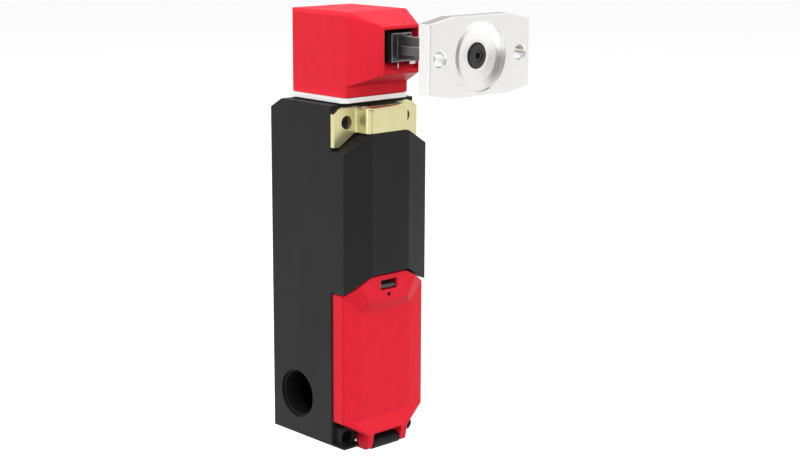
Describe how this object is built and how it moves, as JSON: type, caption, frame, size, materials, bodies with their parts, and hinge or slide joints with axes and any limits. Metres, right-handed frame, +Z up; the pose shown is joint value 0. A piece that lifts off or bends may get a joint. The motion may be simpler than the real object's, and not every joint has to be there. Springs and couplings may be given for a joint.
{
  "type": "tongue interlock switch",
  "caption": "Tongue interlock switch: slim black housing with a hinged red cover, a red head that turns, guard-locking solenoid, and a separate T-shaped key on a light metal plate",
  "frame": {"origin": "on the rear mounting face, midway between the two lower mounting holes", "axes": "+X to the right seen from the front, +Y into the surface the switch is mounted on, +Z up towards the head"},
  "size_m": [0.052, 0.0967, 0.1792],
  "materials": {
    "black_polymer": "moulded, fine texture",
    "red_enamel": "gloss paint",
    "yellow_zinc_steel": "yellow passivated zinc plate",
    "bright_zinc": "bright",
    "satin_metal": "satin die-cast",
    "dark_metal": "phosphated",
    "black_steel": "black oxide",
    "steel": "turned or stamped",
    "seal_rubber": "moulded",
    "bush_rubber": "moulded",
    "grey_polymer": "moulded",
    "latch_polymer": "moulded",
    "contact_metal": "silver plated",
    "copper_wire": "lacquered wire"
  },
  "bodies": {
    "housing": {"housing": "black_polymer", "bracket": "yellow_zinc_steel", "hinge_pin": "steel", "lid_seal": "seal_rubber", "entry_plug": "black_polymer", "contact_block": "grey_polymer", "fixed_contacts": "contact_metal", "terminal_clamps": "steel", "terminal_screws": "steel", "block_screws": "steel", "coil_bobbin": "grey_polymer", "coil_winding": "copper_wire", "coil_yoke": "steel", "yoke_screws": "steel", "head_gasket": "seal_rubber", "plunger_spring": "steel", "lock_spring": "steel"},
    "lid": {"lid": "red_enamel"},
    "latch": {"lid_latch": "latch_polymer"},
    "head": {"head_shell": "red_enamel", "head_plate": "bright_zinc", "head_screws": "steel", "turning_sleeve": "grey_polymer", "sleeve_ring": "steel", "slot_guide": "black_polymer", "slot_clip": "steel", "cam_axle": "steel"},
    "cam": {"cam": "latch_polymer"},
    "actuator": {"tongue": "dark_metal", "ball_bush": "bush_rubber", "tongue_screw": "black_steel"},
    "plate": {"actuator_plate": "satin_metal"},
    "plunger": {"plunger": "steel", "contact_carrier": "grey_polymer", "contact_bridges": "contact_metal"},
    "lock": {"armature": "steel", "lock_fork": "steel"}
  },
  "joints": [
    {"name": "lid_hinge", "type": "hinge", "parent": "housing", "child": "lid", "pos_m": [0, -0.0442, -0.0045], "axis": [1, 0, 0], "range_deg": [0, 120]},
    {"name": "latch_pivot", "type": "hinge", "parent": "housing", "child": "latch", "pos_m": [0, -0.0396, 0.0627], "axis": [-1, 0, 0], "range_deg": [0, 12], "stiffness_Nm_per_rad": 0.02, "springref_deg": -8.59},
    {"name": "head_turn", "type": "hinge", "parent": "housing", "child": "head", "pos_m": [0, -0.0235, 0.13755], "axis": [0, 0, 1], "range_deg": [-90, 90]},
    {"name": "tongue_slide", "type": "slide", "parent": "head", "child": "actuator", "axis": [0, 1, 0], "range_m": [0, 0.034]},
    {"name": "plate_tilt", "type": "hinge", "parent": "actuator", "child": "plate", "pos_m": [0, -0.0929, 0.1576], "axis": [0, 0, 1], "range_deg": [-5, 5], "stiffness_Nm_per_rad": 0.4},
    {"name": "cam_turn", "type": "hinge", "parent": "head", "child": "cam", "pos_m": [0, -0.0235, 0.1447], "axis": [-1, 0, 0], "range_deg": [0, 60]},
    {"name": "plunger_slide", "type": "slide", "parent": "housing", "child": "plunger", "axis": [0, 0, 1], "range_m": [0, 0.003], "deforming": ["plunger_spring"]},
    {"name": "lock_slide", "type": "slide", "parent": "housing", "child": "lock", "axis": [0, 1, 0], "range_m": [0, 0.0045], "stiffness_N_per_m": 250, "springref_m": -0.002}
  ],
  "couplings": [
    {"joint": "cam_turn", "follows": "tongue_slide", "rad_per_m": 30.79},
    {"joint": "plunger_slide", "follows": "tongue_slide", "ratio": 0.088}
  ]
}
